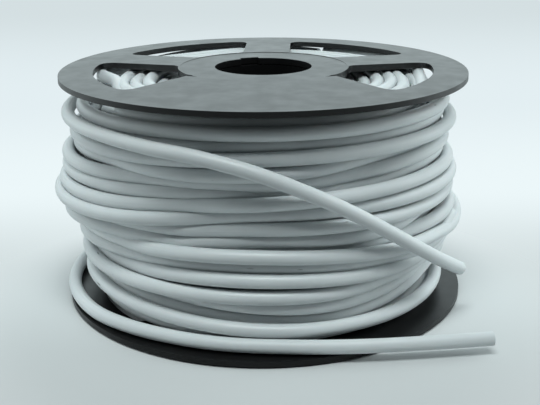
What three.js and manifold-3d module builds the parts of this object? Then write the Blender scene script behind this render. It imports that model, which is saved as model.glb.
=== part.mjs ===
// A string reel: two moulded flanges on a hollow drum with a bore for a
// spindle, wound full of round white cord whose two cut ends lie loose.
// Millimetres, +Z up along the reel's axis. The origin is on the floor, under
// the middle of the bore. -Y is the side that the loose ends cross.

import * as THREE from 'three';
import { mergeVertices } from 'three/addons/utils/BufferGeometryUtils.js';
import Module from 'manifold-3d';

const wasm = await Module();
wasm.setup();

// ---- Driving dimensions ----

const REEL_HEIGHT = 71.0; // over both hub faces
const CLEARANCE = 0.3; // between pieces that touch

const FLANGE_RADIUS = 62.5;
const FLANGE_THICKNESS = 1.6;
const RIM_ROUNDING = 0.6;
const HUB_RADIUS = 26.0; // the disc round the bore that stands proud
const HUB_STEP = 0.5;
const BORE_RADIUS = 15.0;

const SPOKE_WIDTH = 15.6;
const SPOKE_COUNT = 5;
const SPOKE_TURN = 88; // degrees from +X to the rear spoke
const SOLID_SECTOR = 2; // the sector at the front has no window
const WINDOW_OUTER_RADIUS = 52.2;
const WINDOW_INNER_RADIUS = 26.4;
const WINDOW_OUTER_CORNER = 5.0;
const WINDOW_INNER_CORNER = 1.4;
const WINDOW_TIP = 4.5; // length of the pointed corner beside the solid sector
const WINDOW_TIP_DROP = 0.8; // how much nearer to the axis that corner ends
const KEY_WIDTH = 6.0; // drive notch in the edge of the bore
const KEY_DEPTH = 1.6;
const KEY_TURN = 107; // degrees from +X

const BARREL_RADIUS = 25.5;
const BARREL_WALL = 1.8;
const SPIGOT_WALL = 1.5; // the flange's ring that plugs into the barrel
const SPIGOT_DEPTH = 6.0;
const SLEEVE_WALL = 1.6;
const RIB_THICKNESS = 1.4;

const CORD_DIAMETER = 4.0;
const WINDING_RADIUS = 55.0; // centre line of the outer turns, front and back
const LEFT_SWELL = 5.4; // the turns bulge this much at the left,
const LEFT_SWELL_HEIGHT = 41.0; // most of all at this height
const RIGHT_SWELL = 4.4;
const RIGHT_SWELL_HEIGHT = 29.0;
const SWELL_SPREAD = 13.0; // how far above and below a bulge fades out
const LAY_WANDER = 0.45; // how far a turn strays in and out
const TURN_COUNT = 15;
const FIRST_TURN_HEIGHT = 6.0; // centre of the lowest turn above the floor
const LAST_TURN_DROP = 4.6; // centre of the last turn below the upper rim's top
const WINDING_START = -190; // degrees from the front, where the first turn comes out
const WINDING_RAMP = 40; // degrees over which it rises from the inner layers
const WINDING_DIP = 3.8; // and how deep it starts
const WINDING_SHORT = 10; // degrees by which the last turn stops short of a full one
const WANDER_RATES = [0.37, 1.61]; // waves of the straying per turn
const LAYER_DROP = 1.3; // the inner layers stop this far under the upper flange
const LAYER_FOOT = 0.4; // and this far above the lower one

// ---- Values that follow from them ----

const DEGREE = Math.PI / 180;
const ROUND_STEPS = 72; // faces round a turned piece
const WINDOW_STEPS = 10; // faces along a window's curves
const LOOP_STEPS = 24; // steps round one turn of the cord
const TUBE_SIDES = 6;
const END_SIDES = 8; // sides of a loose end and of a channel in the layers
const MERGE_DISTANCE = 1e-4;
const WINDING_END = WINDING_START - WINDING_SHORT + 360 * TURN_COUNT;
const WALL_STACK = HUB_STEP + FLANGE_THICKNESS;
const LOWER_FACE = WALL_STACK; // inner face of the lower flange
const UPPER_FACE = REEL_HEIGHT - WALL_STACK; // inner face of the upper flange
const CORD_RADIUS = CORD_DIAMETER / 2;
const BARREL_INNER = BARREL_RADIUS - BARREL_WALL;
const SLEEVE_RADIUS = BORE_RADIUS + SLEEVE_WALL;
const FLAT_OF_TURN = Math.cos(Math.PI / LOOP_STEPS); // a turn's chord lies this much further in
const LAYER_RADIUS = (WINDING_RADIUS - LAY_WANDER - CORD_RADIUS) * FLAT_OF_TURN - CLEARANCE;

const BLACK_PLASTIC = { color: 0x17181a, roughness: 0.34, metalness: 0 };
const WHITE_CORD = { color: 0xdfe3e4, roughness: 0.45, metalness: 0 };

// The loose upper end, from where it leaves the winding behind the reel to its
// cut end at the right. Its first points follow from the last turn.
const UPPER_END_ROUTE = [
  [-28.2, 50.9, 65.8],
  [-37.9, 44.8, 64.8],
  [-46.4, 36.9, 63.2],
  [-53.0, 27.4, 61.6],
  [-57.6, 16.4, 60.3],
  [-59.8, 4.6, 59.6],
  [-59.7, -7.4, 59.4],
  [-57.0, -19.2, 59.5],
  [-50.7, -32.2, 59.6],
  [-41.2, -43.6, 59.4],
  [-31.4, -51.1, 58.8],
  [-16.0, -57.8, 57.3],
  [-3.2, -59.9, 54.2],
  [9.6, -59.2, 49.0],
  [22.8, -55.7, 41.9],
  [36.9, -49.0, 32.2],
  [49.8, -38.6, 21.9],
  [57.9, -28.9, 15.0],
];

// The loose lower end, from the notch in the inner layers behind the reel,
// round the lower flange and off its front edge.
const LOWER_END_ROUTE = [
  [44.3, 25.6, 4.4],
  [42.3, 29.0, 4.4],
  [35.7, 37.7, 4.4],
  [26.4, 46.0, 4.4],
  [13.9, 53.2, 4.4],
  [-0.6, 57.5, 4.4],
  [-15.7, 57.8, 4.4],
  [-30.4, 52.8, 4.4],
  [-43.4, 43.3, 4.4],
  [-53.2, 30.6, 4.4],
  [-59.3, 15.6, 4.4],
  [-61.2, 0.0, 4.4],
  [-59.6, -13.4, 4.4],
  [-55.2, -25.4, 4.4],
  [-48.2, -36.2, 4.4],
  [-39.0, -44.2, 4.4],
  [-28.4, -50.3, 4.4],
  [-17.6, -54.6, 4.4],
  [-6.4, -57.1, 4.4],
  [6.0, -58.2, 4.4],
  [18.0, -58.5, 4.4],
  [31.0, -57.9, 4.4],
  [42.4, -56.7, 4.4],
  [53.5, -55.3, 4.4],
  [62.8, -54.1, 4.4],
];

// ---- Solids and geometries ----

function mergedPositions(geometry) {
  geometry.deleteAttribute('normal');
  geometry.deleteAttribute('uv');
  return mergeVertices(geometry, MERGE_DISTANCE);
}

function solidFrom(geometry) {
  const merged = mergedPositions(geometry);
  return new wasm.Manifold(new wasm.Mesh({
    numProp: 3,
    vertProperties: new Float32Array(merged.attributes.position.array),
    triVerts: new Uint32Array(merged.index.array),
  }));
}

function geometryFrom(solid) {
  const { vertProperties, triVerts } = solid.getMesh();
  const geometry = new THREE.BufferGeometry();
  geometry.setAttribute('position', new THREE.BufferAttribute(vertProperties, 3));
  geometry.setIndex(new THREE.BufferAttribute(triVerts, 1));
  geometry.computeVertexNormals();
  return geometry;
}

function namedMesh(name, geometry, finish) {
  const mesh = new THREE.Mesh(geometry, new THREE.MeshStandardMaterial(finish));
  mesh.name = name;
  return mesh;
}

// Turns a closed [radius, height] outline, listed with its outer side going up.
function revolve(outline) {
  const points = [...outline, outline[0]].map(([radius, height]) => new THREE.Vector2(radius, height));
  return new THREE.LatheGeometry(points, ROUND_STEPS).rotateX(Math.PI / 2);
}

function ring(innerRadius, outerRadius, bottom, top) {
  return revolve([[innerRadius, bottom], [outerRadius, bottom], [outerRadius, top], [innerRadius, top]]);
}

function polar(radius, angle) {
  return new THREE.Vector2(radius * Math.cos(angle), radius * Math.sin(angle));
}

// ---- Flanges: inner face at z = 0, outer face up ----

function flangeOutline() {
  const spigotOuter = BARREL_INNER - CLEARANCE;
  const spigotInner = spigotOuter - SPIGOT_WALL;
  const rim = [];
  for (const [height, from] of [[RIM_ROUNDING, -90], [FLANGE_THICKNESS - RIM_ROUNDING, 0]]) {
    for (const step of [0, 30, 60, 90]) {
      const point = polar(RIM_ROUNDING, (from + step) * DEGREE);
      rim.push([FLANGE_RADIUS - RIM_ROUNDING + point.x, height + point.y]);
    }
  }
  return [
    [BORE_RADIUS, 0],
    [spigotInner, 0],
    [spigotInner, -SPIGOT_DEPTH],
    [spigotOuter, -SPIGOT_DEPTH],
    [spigotOuter, 0],
    ...rim,
    [HUB_RADIUS + HUB_STEP / 2, FLANGE_THICKNESS],
    [HUB_RADIUS, WALL_STACK],
    [BORE_RADIUS, WALL_STACK],
  ];
}

// A window between two spokes. Its straight sides are parallel to the spokes.
// pointedEnd is -1 or 1 where the inner corner at that side runs out in a point.
function windowShape(firstSpoke, secondSpoke, pointedEnd) {
  const edge = (radius) => Math.asin(SPOKE_WIDTH / 2 / radius);
  const outer = [firstSpoke + edge(WINDOW_OUTER_RADIUS), secondSpoke - edge(WINDOW_OUTER_RADIUS)];
  const inner = [firstSpoke + edge(WINDOW_INNER_RADIUS), secondSpoke - edge(WINDOW_INNER_RADIUS)];
  const outerTrim = WINDOW_OUTER_CORNER / WINDOW_OUTER_RADIUS;
  const innerTrim = WINDOW_INNER_CORNER / WINDOW_INNER_RADIUS;
  const sideAngle = (side, radius) => (side === 0 ? firstSpoke + edge(radius) : secondSpoke - edge(radius));
  const onSide = (side, radius) => polar(radius, sideAngle(side, radius));
  const shape = new THREE.Shape();
  const curve = (corner, end) => shape.quadraticCurveTo(corner.x, corner.y, end.x, end.y);
  const innerCorner = (side, end) => {
    const corner = polar(WINDOW_INNER_RADIUS, inner[side]);
    if (pointedEnd === (side === 0 ? -1 : 1)) {
      const tipRadius = WINDOW_INNER_RADIUS - WINDOW_TIP_DROP;
      const tip = polar(tipRadius, inner[side] + pointedEnd * WINDOW_TIP / tipRadius);
      shape.lineTo(tip.x, tip.y);
      shape.lineTo(end.x, end.y);
    } else {
      curve(corner, end);
    }
  };
  const start = polar(WINDOW_OUTER_RADIUS, outer[0] + outerTrim);
  shape.moveTo(start.x, start.y);
  shape.absarc(0, 0, WINDOW_OUTER_RADIUS, outer[0] + outerTrim, outer[1] - outerTrim, false);
  curve(polar(WINDOW_OUTER_RADIUS, outer[1]), onSide(1, WINDOW_OUTER_RADIUS - WINDOW_OUTER_CORNER));
  const second = onSide(1, WINDOW_INNER_RADIUS + WINDOW_INNER_CORNER);
  shape.lineTo(second.x, second.y);
  innerCorner(1, polar(WINDOW_INNER_RADIUS, inner[1] - innerTrim));
  shape.absarc(0, 0, WINDOW_INNER_RADIUS, inner[1] - innerTrim, inner[0] + innerTrim, true);
  innerCorner(0, onSide(0, WINDOW_INNER_RADIUS + WINDOW_INNER_CORNER));
  const last = onSide(0, WINDOW_OUTER_RADIUS - WINDOW_OUTER_CORNER);
  shape.lineTo(last.x, last.y);
  curve(polar(WINDOW_OUTER_RADIUS, outer[0]), start);
  return shape;
}

function windowCutter(sector) {
  const pitch = 360 / SPOKE_COUNT;
  const first = (SPOKE_TURN + sector * pitch) * DEGREE;
  const besideSolid = { [SOLID_SECTOR - 1]: 1, [SOLID_SECTOR + 1]: -1 };
  const shape = windowShape(first, first + pitch * DEGREE, besideSolid[sector] ?? 0);
  const through = 3 * WALL_STACK;
  const options = { depth: through, bevelEnabled: false, curveSegments: WINDOW_STEPS };
  const cutter = new THREE.ExtrudeGeometry(shape, options);
  return solidFrom(cutter.translate(0, 0, -through / 3));
}

function keyCutter() {
  const reach = BORE_RADIUS + KEY_DEPTH;
  const box = new THREE.BoxGeometry(reach, KEY_WIDTH, 3 * WALL_STACK);
  return solidFrom(box.translate(reach / 2, 0, 0).rotateZ(KEY_TURN * DEGREE));
}

function flangeGeometry() {
  let flange = solidFrom(revolve(flangeOutline()));
  for (let sector = 0; sector < SPOKE_COUNT; sector += 1) {
    if (sector !== SOLID_SECTOR) {
      flange = flange.subtract(windowCutter(sector));
    }
  }
  return geometryFrom(flange.subtract(keyCutter()));
}

function upperFlange() {
  const mesh = namedMesh('upper_flange', flangeGeometry(), BLACK_PLASTIC);
  mesh.position.z = UPPER_FACE;
  return mesh;
}

// The same moulding, turned over about the front-to-back line.
function lowerFlange() {
  const mesh = namedMesh('lower_flange', flangeGeometry(), BLACK_PLASTIC);
  mesh.position.z = LOWER_FACE;
  mesh.rotation.y = Math.PI;
  return mesh;
}

// ---- Drum: the barrel that carries the cord and the sleeve for the spindle ----

function barrel() {
  const wall = ring(BARREL_INNER, BARREL_RADIUS, LOWER_FACE + CLEARANCE, UPPER_FACE - CLEARANCE);
  return namedMesh('drum_barrel', wall, BLACK_PLASTIC);
}

function boreSleeve() {
  const bottom = LOWER_FACE + CLEARANCE;
  const top = UPPER_FACE - CLEARANCE;
  const ribHeight = top - bottom - 2 * (SPIGOT_DEPTH + CLEARANCE);
  const ribInner = (BORE_RADIUS + SLEEVE_RADIUS) / 2;
  const ribOuter = BARREL_INNER - CLEARANCE;
  let sleeve = solidFrom(ring(BORE_RADIUS, SLEEVE_RADIUS, bottom, top));
  for (let index = 0; index < SPOKE_COUNT; index += 1) {
    const rib = new THREE.BoxGeometry(ribOuter - ribInner, RIB_THICKNESS, ribHeight);
    rib.translate((ribInner + ribOuter) / 2, 0, (bottom + top) / 2);
    rib.rotateZ((SPOKE_TURN + index * 360 / SPOKE_COUNT) * DEGREE);
    sleeve = sleeve.add(solidFrom(rib));
  }
  return namedMesh('bore_sleeve', geometryFrom(sleeve), BLACK_PLASTIC);
}

// ---- Winding: one tube of outer turns over plain inner layers ----

function onReel(radius, angle, height) {
  return new THREE.Vector3(radius * Math.sin(angle), -radius * Math.cos(angle), height);
}

function sideSwell(angle, height) {
  const sideways = Math.sin(angle);
  const [reach, middle] = sideways < 0
    ? [LEFT_SWELL, LEFT_SWELL_HEIGHT]
    : [RIGHT_SWELL, RIGHT_SWELL_HEIGHT];
  return reach * sideways ** 2 * Math.exp(-(((height - middle) / SWELL_SPREAD) ** 2));
}

// Centre of the tube at an angle in degrees, counted from the front.
function turnPoint(angle) {
  const share = (angle - WINDING_START) / (WINDING_END - WINDING_START);
  const lastHeight = UPPER_FACE + FLANGE_THICKNESS - LAST_TURN_DROP;
  const height = FIRST_TURN_HEIGHT + share * (lastHeight - FIRST_TURN_HEIGHT);
  const inRamp = THREE.MathUtils.smoothstep(angle, WINDING_START, WINDING_START + WINDING_RAMP);
  const [slow, quick] = WANDER_RATES.map((rate) => Math.sin(rate * angle * DEGREE));
  const swell = sideSwell(angle * DEGREE, height);
  const outward = swell + LAY_WANDER * slow * quick - WINDING_DIP * (1 - inRamp);
  return onReel(WINDING_RADIUS + outward, angle * DEGREE, height);
}

function turnPath() {
  const steps = Math.round((WINDING_END - WINDING_START) * LOOP_STEPS / 360);
  const points = [];
  for (let step = 0; step <= steps; step += 1) {
    points.push(turnPoint(WINDING_START + step * 360 / LOOP_STEPS));
  }
  const straightEnd = (end, next) => end.clone().sub(next).setLength(CORD_DIAMETER).add(end);
  points.unshift(straightEnd(points[0], points[1]));
  points.push(straightEnd(points.at(-1), points.at(-2)));
  return points;
}

function tangentAt(points, index) {
  const before = points[Math.max(index - 1, 0)];
  const after = points[Math.min(index + 1, points.length - 1)];
  return after.clone().sub(before).normalize();
}

// Rings of tube corners, with flat sides up and down and corners in and out.
function tubeRings(points, radius, sides) {
  return points.map((point, index) => {
    const along = tangentAt(points, index);
    const outward = new THREE.Vector3(point.x, point.y, 0);
    outward.addScaledVector(along, -outward.dot(along)).normalize();
    const upward = new THREE.Vector3().crossVectors(outward, along);
    return Array.from({ length: sides }, (_, side) => {
      const angle = side * 2 * Math.PI / sides;
      const corner = point.clone().addScaledVector(outward, radius * Math.cos(angle));
      return corner.addScaledVector(upward, radius * Math.sin(angle));
    });
  });
}

function tubeGeometry(rings) {
  const sides = rings[0].length;
  const corners = rings.flat();
  const faces = [];
  for (let index = 0; index + 1 < rings.length; index += 1) {
    for (let side = 0; side < sides; side += 1) {
      const next = (side + 1) % sides;
      const [a, b] = [index * sides + side, index * sides + next];
      faces.push(a, a + sides, b, b, a + sides, b + sides);
    }
  }
  const lastRing = (rings.length - 1) * sides;
  for (let side = 1; side + 1 < sides; side += 1) {
    faces.push(0, side, side + 1);
    faces.push(lastRing, lastRing + side + 1, lastRing + side);
  }
  const geometry = new THREE.BufferGeometry().setFromPoints(corners);
  geometry.setIndex(faces);
  geometry.computeVertexNormals();
  return geometry;
}

// Least distance between corners of rings that are half a turn or more apart.
function leastGap(rings) {
  let least = Infinity;
  for (let first = 0; first < rings.length; first += 1) {
    for (let second = first + LOOP_STEPS / 2; second < rings.length; second += 1) {
      for (const corner of rings[first]) {
        for (const other of rings[second]) {
          least = Math.min(least, corner.distanceTo(other));
        }
      }
    }
  }
  return least;
}

function outerTurns() {
  const rings = tubeRings(turnPath(), CORD_RADIUS, TUBE_SIDES);
  console.log(`Outer turns: least gap between corners ${leastGap(rings).toFixed(2)} mm`);
  return namedMesh('cord_outer_turns', tubeGeometry(rings), WHITE_CORD);
}

// A channel for a cord that comes out of the layers, one clearance wide all
// round, which stops one clearance behind the cord's end.
function channelCutter(points) {
  const start = points[0].clone().sub(points[1]).setLength(CLEARANCE).add(points[0]);
  const radius = (CORD_RADIUS + CLEARANCE) / Math.cos(Math.PI / END_SIDES);
  return solidFrom(tubeGeometry(tubeRings([start, ...points.slice(1)], radius, END_SIDES)));
}

function innerLayers() {
  const bottom = LOWER_FACE + LAYER_FOOT;
  const top = UPPER_FACE - LAYER_DROP;
  const body = solidFrom(ring(BARREL_RADIUS + CLEARANCE, LAYER_RADIUS, bottom, top));
  const curve = lowerEndCurve();
  const lowerSteps = Math.ceil(curve.getLength() / CORD_DIAMETER);
  const turnStart = turnPath().slice(0, LOOP_STEPS / 3);
  const lowerStart = curve.getSpacedPoints(lowerSteps).slice(0, Math.ceil(lowerSteps / 4));
  const layers = body.subtract(channelCutter(turnStart)).subtract(channelCutter(lowerStart));
  return namedMesh('cord_inner_layers', geometryFrom(layers), WHITE_CORD);
}

// ---- Loose ends ----

const END_STEP = 2.5 * CORD_DIAMETER;

function routePoints(route) {
  return route.map((point) => new THREE.Vector3(...point));
}

function lowerEndCurve() {
  return new THREE.CatmullRomCurve3(routePoints(LOWER_END_ROUTE));
}

function upperEndCurve() {
  const turns = turnPath();
  const along = tangentAt(turns, turns.length - 1);
  const reaches = [CLEARANCE, CLEARANCE + CORD_DIAMETER];
  const leaving = reaches.map((reach) => turns.at(-1).clone().addScaledVector(along, reach));
  return new THREE.CatmullRomCurve3([...leaving, ...routePoints(UPPER_END_ROUTE)]);
}

function looseEnd(name, curve) {
  const angles = Array.from({ length: END_SIDES }, (_, side) => (side + 0.5) * 2 * Math.PI / END_SIDES);
  const corners = angles.map((angle) => polar(CORD_RADIUS, angle));
  const steps = Math.ceil(curve.getLength() / END_STEP);
  const tube = new THREE.ExtrudeGeometry(new THREE.Shape(corners), { steps, extrudePath: curve });
  return namedMesh(name, tube, WHITE_CORD);
}

// ---- Assembly ----

const reel = new THREE.Group();
reel.add(upperFlange(), lowerFlange(), barrel(), boreSleeve());

const cord = new THREE.Group();
cord.add(innerLayers(), outerTurns());
cord.add(looseEnd('cord_upper_end', upperEndCurve()), looseEnd('cord_lower_end', lowerEndCurve()));

const stringReel = new THREE.Group();
stringReel.add(reel, cord);

export default stringReel;
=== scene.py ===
"""Looks of a string reel: a black moulded reel wound full of round white cord.

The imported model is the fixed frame. This script models the flanges, the drum,
the winding and the two loose ends around it, gives each its finish, and sets
up a pale floor, soft studio light and the camera. Lengths are in metres.
"""

from __future__ import annotations

import logging
import math
from collections.abc import Callable
from dataclasses import dataclass
from enum import Enum

import bpy
import numpy as np
from mathutils import Matrix, Vector


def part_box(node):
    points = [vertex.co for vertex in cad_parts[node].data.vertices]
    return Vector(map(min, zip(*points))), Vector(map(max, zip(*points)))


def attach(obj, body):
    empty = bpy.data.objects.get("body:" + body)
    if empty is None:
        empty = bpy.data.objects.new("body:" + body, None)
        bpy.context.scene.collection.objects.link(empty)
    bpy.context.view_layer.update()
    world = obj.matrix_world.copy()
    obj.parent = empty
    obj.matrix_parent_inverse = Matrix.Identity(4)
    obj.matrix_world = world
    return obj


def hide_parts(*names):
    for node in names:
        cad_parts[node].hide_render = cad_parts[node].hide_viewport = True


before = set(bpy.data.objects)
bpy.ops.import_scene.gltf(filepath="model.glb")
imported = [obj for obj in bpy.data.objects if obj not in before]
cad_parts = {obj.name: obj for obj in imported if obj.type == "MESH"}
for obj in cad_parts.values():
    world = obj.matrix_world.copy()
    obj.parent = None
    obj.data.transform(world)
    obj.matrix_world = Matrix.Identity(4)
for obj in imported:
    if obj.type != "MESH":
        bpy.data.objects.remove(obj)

MM = 0.001
BODY = "root"
LOG = logging.getLogger("string_reel")

Point = tuple[float, float, float]
Colour = tuple[float, float, float]
Tones = tuple[tuple[float, Colour], ...]
Socket = bpy.types.NodeSocket


class Slot(Enum):
    """The record's material slots."""

    REEL = "reel_plastic"
    CORD = "cord_white"


class Side(Enum):
    """Which end of the reel a piece belongs to."""

    UPPER = "upper"
    LOWER = "lower"


# ---- Finishes ----

NOISE_MIDDLE = (0.3, 0.7)  # most of a noise's values lie between these


class NodeGraph:
    """A material's or world's node tree, built with short calls."""

    def __init__(self, tree: bpy.types.NodeTree) -> None:
        """Clears the tree.

        Args:
            tree: the node tree to fill.
        """
        self.tree = tree
        self.tree.nodes.clear()

    def node(self, kind: str, **settings: object) -> bpy.types.Node:
        """Adds a node.

        Args:
            kind: Blender's node type name.
            settings: attributes of the node, or names of its inputs with
                spaces written as underscores.

        Returns:
            The new node.
        """
        made = self.tree.nodes.new(kind)
        for name, value in settings.items():
            if hasattr(made, name):
                setattr(made, name, value)
            else:
                self.set_input(made, name.replace("_", " "), value)
        return made

    def set_input(self, node: bpy.types.Node, name: str, value: object) -> None:
        """Sets an input, or links it where the value is a socket.

        Args:
            node: the node with the input.
            name: the input's name.
            value: a number, a colour or an output socket.
        """
        socket = node.inputs[name]
        if isinstance(value, Socket):
            self.tree.links.new(value, socket)
        elif isinstance(value, tuple) and len(value) == 3 and socket.type == "RGBA":
            socket.default_value = (*value, 1.0)
        else:
            socket.default_value = value

    def noise(self, vector: Socket, scale: float, detail: float) -> Socket:
        """Adds a noise texture and returns its value."""
        return self.node("ShaderNodeTexNoise", Vector=vector, Scale=scale, Detail=detail).outputs["Fac"]

    def ranged(self, value: Socket, start: float, end: float, low: float = 0.0, high: float = 1.0) -> Socket:
        """Maps start..end to low..high, evenly.

        Args:
            value: the value to map.
            start: where the result is low.
            end: where the result is high.
            low: the result's lowest value.
            high: the result's highest value.

        Returns:
            The result.
        """
        made = self.node("ShaderNodeMapRange", From_Min=start, From_Max=end, To_Min=low, To_Max=high)
        self.tree.links.new(value, made.inputs["Value"])
        return made.outputs["Result"]

    def spread(self, value: Socket, low: float = 0.0, high: float = 1.0) -> Socket:
        """Maps a noise's middle range to low..high and returns the result."""
        return self.ranged(value, *NOISE_MIDDLE, low, high)

    def blend(self, share: Socket, first: object, second: object) -> Socket:
        """Mixes two colours.

        Args:
            share: how much of the second there is.
            first: a colour, or a socket that carries one.
            second: the other one.

        Returns:
            The mixed colour.
        """
        mix = self.node("ShaderNodeMix", data_type="RGBA")
        self.tree.links.new(share, mix.inputs["Factor"])
        colour_inputs = [socket for socket in mix.inputs if socket.type == "RGBA"]
        for socket, colour in zip(colour_inputs, (first, second)):
            if isinstance(colour, Socket):
                self.tree.links.new(colour, socket)
            else:
                socket.default_value = (*colour, 1.0)
        return next(socket for socket in mix.outputs if socket.type == "RGBA")

    def ramp(self, value: Socket, stops: Tones) -> Socket:
        """Turns a value into a colour that runs smoothly through the stops.

        Args:
            value: the value to look up.
            stops: rising values, each with its colour.

        Returns:
            The colour.
        """
        low, high = stops[0][0], stops[-1][0]
        band = self.node("ShaderNodeValToRGB", Fac=self.ranged(value, low, high))
        elements = band.color_ramp.elements
        band.color_ramp.interpolation = "EASE"
        while len(elements) < len(stops):
            elements.new(1.0)
        for element, (place, colour) in zip(elements, stops):
            element.position = (place - low) / (high - low)
            element.color = (*colour, 1.0)
        return band.outputs["Color"]

    def mix_shaders(self, share: object, first: bpy.types.Node, second: bpy.types.Node) -> bpy.types.Node:
        """Mixes two shaders.

        Args:
            share: a number or a socket, how much of the second there is.
            first: the first shader's node.
            second: the second shader's node.

        Returns:
            The mix node.
        """
        mix = self.node("ShaderNodeMixShader")
        self.set_input(mix, "Fac", share)
        self.tree.links.new(first.outputs[0], mix.inputs[1])
        self.tree.links.new(second.outputs[0], mix.inputs[2])
        return mix


@dataclass(frozen=True)
class MouldedPlastic:
    """Black moulded plastic: satin, a little clouded, with fine scuffs."""

    name: str = "reel_plastic"
    colour: Colour = (0.0046, 0.0046, 0.0048)
    scuffed: Colour = (0.0078, 0.0079, 0.0082)
    refraction: float = 1.54
    smoothest: float = 0.30
    roughest: float = 0.37
    shine: float = 0.5
    cloud_scale: float = 45.0
    wear_scale: float = 190.0
    grain_scale: float = 2600.0
    grain_depth: float = 0.05 * MM
    grain_strength: float = 0.08

    def material(self) -> bpy.types.Material:
        """Makes the material, on Object coordinates.

        Returns:
            The material.
        """
        material = bpy.data.materials.new(self.name)
        material.use_nodes = True
        graph = NodeGraph(material.node_tree)
        place = graph.node("ShaderNodeTexCoord").outputs["Object"]
        cloud = graph.noise(place, self.cloud_scale, detail=3.0)
        worn = graph.noise(place, self.wear_scale, detail=5.0)
        grain = graph.noise(place, self.grain_scale, detail=1.0)
        shader = graph.node(
            "ShaderNodeBsdfPrincipled",
            IOR=self.refraction,
            Specular_IOR_Level=self.shine,
            Base_Color=graph.blend(graph.spread(cloud), self.colour, self.scuffed),
            Roughness=graph.spread(worn, self.smoothest, self.roughest),
        )
        fine = graph.node(
            "ShaderNodeBump", Strength=self.grain_strength, Distance=self.grain_depth, Height=grain
        )
        graph.set_input(shader, "Normal", fine.outputs["Normal"])
        output = graph.node("ShaderNodeOutputMaterial")
        graph.set_input(output, "Surface", shader.outputs["BSDF"])
        return material


@dataclass(frozen=True)
class CordPlastic:
    """Smooth cool white cord: drawn streaks and rare nicks along it, clouded
    with handling."""

    name: str = "cord_white"
    colour: Colour = (0.660, 0.690, 0.700)
    handled: Colour = (0.575, 0.602, 0.614)
    nicked: Colour = (0.24, 0.25, 0.25)
    refraction: float = 1.48
    translucence: float = 0.02
    light_depth: float = 1.2 * MM
    smoothest: float = 0.34
    roughest: float = 0.46
    cloud_scale: float = 60.0
    streak_scale: Point = (1300.0, 18.0, 1.0)  # round the cord and along it
    streak_share: float = 0.8
    streak_depth: float = 0.05 * MM
    streak_strength: float = 0.10
    nick_scale: Point = (700.0, 150.0, 1.0)
    nick_noise: tuple[float, float] = (0.765, 0.82)  # where a nick starts and is full

    def material(self) -> bpy.types.Material:
        """Makes the material, on Object coordinates and the tubes' own UV map.

        Returns:
            The material.
        """
        material = bpy.data.materials.new(self.name)
        material.use_nodes = True
        graph = NodeGraph(material.node_tree)
        place = graph.node("ShaderNodeTexCoord").outputs["Object"]
        lay = graph.node("ShaderNodeUVMap", uv_map=TUBE_UV).outputs["UV"]
        drawn, scratched = (
            graph.node("ShaderNodeMapping", Scale=scale, Vector=lay).outputs["Vector"]
            for scale in (self.streak_scale, self.nick_scale)
        )
        streaks = graph.noise(drawn, 1.0, detail=2.0)
        nicks = graph.ranged(graph.noise(scratched, 1.0, detail=1.0), *self.nick_noise)
        cloud = graph.noise(place, self.cloud_scale, detail=3.0)
        clean = graph.blend(graph.spread(cloud), self.colour, self.handled)
        streaked = graph.blend(graph.spread(streaks, 0.0, self.streak_share), clean, self.handled)
        shader = graph.node(
            "ShaderNodeBsdfPrincipled",
            IOR=self.refraction,
            Base_Color=graph.blend(nicks, streaked, self.nicked),
            Roughness=graph.spread(streaks, self.smoothest, self.roughest),
            Subsurface_Weight=self.translucence,
            Subsurface_Scale=self.light_depth,
        )
        bump = graph.node(
            "ShaderNodeBump", Strength=self.streak_strength, Distance=self.streak_depth, Height=streaks
        )
        graph.set_input(shader, "Normal", bump.outputs["Normal"])
        output = graph.node("ShaderNodeOutputMaterial")
        graph.set_input(output, "Surface", shader.outputs["BSDF"])
        return material


# ---- Modelling helpers ----

TUBE_UV = "cord_lay"
UPRIGHT = 0.9  # a normal with more of Z than this faces up or down
SHARP = math.radians(35)  # an edge that turns more than this is rounded
EDGE_STEPS = 3  # faces across a rounded edge
EDGE_SHADING = 40.0  # in degrees: a moulding's edges up to this are shaded smooth
CORD_SHADING = 50.0  # and a cord's
BLOCK_MARGIN = 2.2  # a block's side over its outline's reach


def deselect_all() -> None:
    """Leaves object mode with nothing selected."""
    if bpy.context.object and bpy.context.object.mode != "OBJECT":
        bpy.ops.object.mode_set(mode="OBJECT")
    bpy.ops.object.select_all(action="DESELECT")


def make_active(piece: bpy.types.Object) -> None:
    """Selects one object alone and makes it the active one.

    Args:
        piece: the object.
    """
    deselect_all()
    piece.select_set(True)
    bpy.context.view_layer.objects.active = piece


def apply_place(piece: bpy.types.Object) -> None:
    """Puts the object's place into its mesh."""
    make_active(piece)
    bpy.ops.object.transform_apply(location=True, rotation=True, scale=True)


def apply_modifier(piece: bpy.types.Object, kind: str, **settings: object) -> None:
    """Adds a modifier and applies it.

    Args:
        piece: the mesh object.
        kind: Blender's modifier type.
        settings: the modifier's attributes.
    """
    modifier = piece.modifiers.new(kind.lower(), kind)
    for name, value in settings.items():
        setattr(modifier, name, value)
    make_active(piece)
    bpy.ops.object.modifier_apply(modifier=modifier.name)


def combine(piece: bpy.types.Object, other: bpy.types.Object, operation: str) -> None:
    """Joins another solid to a piece, or cuts it out, and deletes the other.

    Args:
        piece: the solid that is kept.
        other: the solid that is used up.
        operation: UNION or DIFFERENCE.
    """
    apply_modifier(piece, "BOOLEAN", operation=operation, object=other, solver="EXACT")
    bpy.data.objects.remove(other)


def smooth(piece: bpy.types.Object, angle: float) -> None:
    """Shades a piece smooth, apart from edges sharper than angle degrees."""
    make_active(piece)
    bpy.ops.object.shade_smooth_by_angle(angle=math.radians(angle))


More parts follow.
